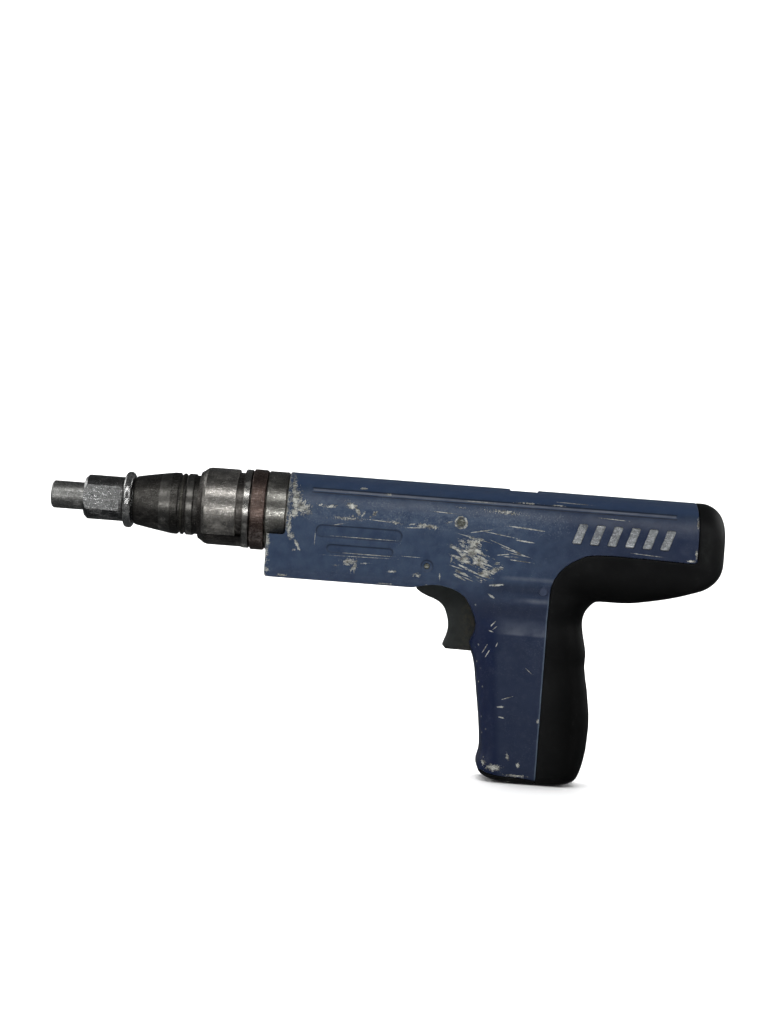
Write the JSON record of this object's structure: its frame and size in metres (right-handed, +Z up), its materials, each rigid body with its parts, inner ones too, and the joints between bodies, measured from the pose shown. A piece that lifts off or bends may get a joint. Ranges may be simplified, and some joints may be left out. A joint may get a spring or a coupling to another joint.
{
  "type": "powder-actuated nail gun",
  "caption": "Pistol-grip powder-actuated fastening tool with sliding barrel, press-to-fire nose, piston, striker, trigger and a load-strip channel through the grip.",
  "frame": {"origin": "centre of the muzzle's mouth, at rest", "axes": "+Z up, barrel along X with the muzzle firing towards -X, grip hanging towards -Z, Y across the tool"},
  "size_m": [0.34, 0.0414, 0.1469],
  "materials": {
    "painted_housing": "worn satin paint, navy blue",
    "black_cover": "matte black moulded",
    "trigger_plastic": "matte dark olive black",
    "dark_steel": "blackened worn steel",
    "bright_steel": "polished and scratched steel",
    "rust_steel": "brown heat-stained steel",
    "inner_steel": "machined steel",
    "spring_steel": "drawn wire",
    "elastomer": "brown elastomer"
  },
  "bodies": {
    "root": {"housing": "painted_housing", "rear_cover": "black_cover", "grip_base_plate": "black_cover", "receiver_tube": "bright_steel", "front_sleeve": "dark_steel", "retaining_band": "bright_steel", "stop_key": "inner_steel", "wear_ring": "rust_steel", "breech_block": "inner_steel", "rear_plug": "inner_steel", "striker_tube": "inner_steel", "striker_spring": "spring_steel", "safety_spring": "spring_steel", "trigger_spring": "spring_steel", "sear_spring": "spring_steel", "pawl_spring": "spring_steel", "advance_spring": "spring_steel", "trigger_pin": "dark_steel", "sear_pin": "dark_steel", "strip_guide": "inner_steel", "lever_pin": "inner_steel", "pawl_plug": "dark_steel", "spring_guide": "dark_steel", "housing_screws": "dark_steel", "cover_screws": "dark_steel", "base_screws": "dark_steel"},
    "safety": {"safety_slider": "inner_steel"},
    "barrel": {"muzzle_tube": "bright_steel", "muzzle_nose": "dark_steel", "muzzle_ring": "bright_steel", "nose_cone": "dark_steel", "cone_ring": "bright_steel", "barrel_tube": "dark_steel", "rod_guide": "inner_steel", "buffer_ring": "elastomer", "buffer_washer": "inner_steel", "chamber_insert": "inner_steel"},
    "piston": {"piston": "inner_steel", "piston_rings": "inner_steel"},
    "striker": {"striker": "inner_steel"},
    "trigger": {"trigger": "trigger_plastic"},
    "sear": {"sear": "inner_steel"},
    "pawl": {"piston_pawl": "inner_steel"},
    "advance": {"advance_lever": "inner_steel"}
  },
  "joints": [
    {"name": "safety_press", "type": "slide", "parent": "root", "child": "safety", "axis": [1, 0, 0], "range_m": [0, 0.016], "stiffness_N_per_m": 900, "springref_m": -0.012, "deforming": ["safety_spring"]},
    {"name": "barrel_slide", "type": "slide", "parent": "safety", "child": "barrel", "axis": [1, 0, 0], "range_m": [-0.065, 0]},
    {"name": "piston_slide", "type": "slide", "parent": "barrel", "child": "piston", "axis": [1, 0, 0], "range_m": [-0.064, 0]},
    {"name": "striker_slide", "type": "slide", "parent": "root", "child": "striker", "axis": [1, 0, 0], "range_m": [0, 0.014], "stiffness_N_per_m": 900, "springref_m": -0.01, "deforming": ["striker_spring"]},
    {"name": "trigger_pull", "type": "hinge", "parent": "root", "child": "trigger", "pos_m": [0.1913, 0, -0.0216], "axis": [0, -1, 0], "range_deg": [0, 12], "stiffness_Nm_per_rad": 1.2, "springref_deg": -8.59, "deforming": ["trigger_spring"]},
    {"name": "sear_turn", "type": "hinge", "parent": "root", "child": "sear", "pos_m": [0.25, 0, -0.03], "axis": [0, 1, 0], "range_deg": [0, 9], "deforming": ["sear_spring"]},
    {"name": "pawl_lift", "type": "slide", "parent": "root", "child": "pawl", "axis": [0, 0, -1], "range_m": [0, 0.0035], "stiffness_N_per_m": 300, "springref_m": -0.003, "deforming": ["pawl_spring"]},
    {"name": "advance_turn", "type": "hinge", "parent": "root", "child": "advance", "pos_m": [0.2505, 0, -0.06], "axis": [0, 1, 0], "range_deg": [0, 8], "stiffness_Nm_per_rad": 0.2, "springref_deg": -11.46, "deforming": ["advance_spring"]}
  ],
  "couplings": [
    {"joint": "sear_turn", "follows": "trigger_pull", "ratio": 0.74}
  ]
}
